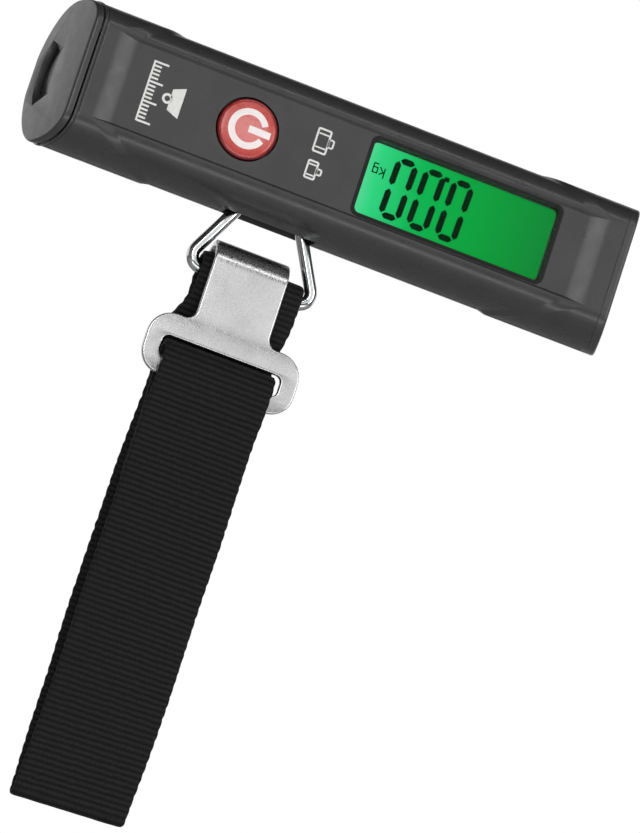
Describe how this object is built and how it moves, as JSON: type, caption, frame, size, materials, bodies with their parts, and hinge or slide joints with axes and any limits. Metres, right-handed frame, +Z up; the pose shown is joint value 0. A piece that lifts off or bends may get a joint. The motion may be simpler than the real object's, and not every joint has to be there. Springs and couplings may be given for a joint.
{
  "type": "digital luggage scale",
  "caption": "Hand-held digital luggage scale: bar handle with display and button, hanging on a steel ring a webbing strap that closes with a flat steel hook.",
  "frame": {"origin": "middle of the bar handle, where a hand closes round it", "axes": "+X along the handle towards the display end, -Y out of the display face, +Z up; the strap hangs along -Z"},
  "size_m": [0.1468, 0.027, 0.1773],
  "materials": {
    "housing": "dark grey moulded plastic, fine texture with a soft sheen",
    "window": "clear window over a green display",
    "lcd": "green reflective liquid crystal display",
    "white_plastic": "white diffuser",
    "conductive_rubber": "layered conductive rubber",
    "board": "green solder mask",
    "epoxy": "black epoxy",
    "inner_plastic": "black inner plastic",
    "button": "glossy translucent red",
    "nickel": "nickel plate",
    "beam": "milled aluminium",
    "gauge_film": "amber polyimide film",
    "screw": "blackened steel",
    "lead": "insulated lead",
    "ring_steel": "polished steel wire",
    "hook_steel": "satin stainless steel sheet",
    "webbing": "black ribbed polypropylene webbing"
  },
  "bodies": {
    "handle": {"front_shell": "housing", "rear_shell": "housing", "display_end_cap": "housing", "display_window": "window", "lcd_glass": "lcd", "backlight_plate": "white_plastic", "zebra_connector": "conductive_rubber", "circuit_board": "board", "chip_blob": "epoxy", "buzzer": "inner_plastic", "tact_switch": "inner_plastic", "battery_holder": "inner_plastic", "contact_negative": "nickel", "contact_positive": "nickel", "load_cell_beam": "beam", "strain_gauge_upper": "gauge_film", "strain_gauge_lower": "gauge_film", "load_cell_screw_1": "screw", "load_cell_screw_2": "screw", "eye_bolt": "nickel", "eye_bolt_nut": "nickel", "shell_screw_1": "screw", "shell_screw_2": "screw", "shell_screw_3": "screw", "shell_screw_4": "screw", "gauge_lead": "lead", "battery_lead_negative": "lead", "battery_lead_positive": "lead"},
    "power_button": {"power_button": "button"},
    "battery_drawer": {"battery_cap": "housing", "battery_tray": "inner_plastic", "coin_cell": "nickel"},
    "ring": {"suspension_ring": "ring_steel"},
    "strap": {"strap_back": "webbing"},
    "strap_end": {"strap_front": "webbing"},
    "hook": {"hook_plate": "hook_steel"}
  },
  "joints": [
    {"name": "power_press", "type": "slide", "parent": "handle", "child": "power_button", "axis": [0, 1, 0], "range_m": [0, 0.0008], "stiffness_N_per_m": 1200},
    {"name": "drawer_slide", "type": "slide", "parent": "handle", "child": "battery_drawer", "axis": [-1, 0, 0], "range_m": [0, 0.03]},
    {"name": "ring_swing", "type": "hinge", "parent": "handle", "child": "ring", "pos_m": [-0.0123, 0, -0.00554], "axis": [1, 0, 0], "range_deg": [-6, 6]},
    {"name": "strap_swing", "type": "hinge", "parent": "ring", "child": "strap", "pos_m": [-0.0123, 0, -0.0313], "axis": [1, 0, 0], "range_deg": [-60, 60]},
    {"name": "strap_open", "type": "hinge", "parent": "strap", "child": "strap_end", "pos_m": [-0.0142, 0, -0.1597], "axis": [1, 0, 0], "range_deg": [0, 160]},
    {"name": "hook_tilt", "type": "hinge", "parent": "strap_end", "child": "hook", "pos_m": [-0.0138, -0.0054, -0.05705], "axis": [1, 0, 0], "range_deg": [0, 50]}
  ]
}
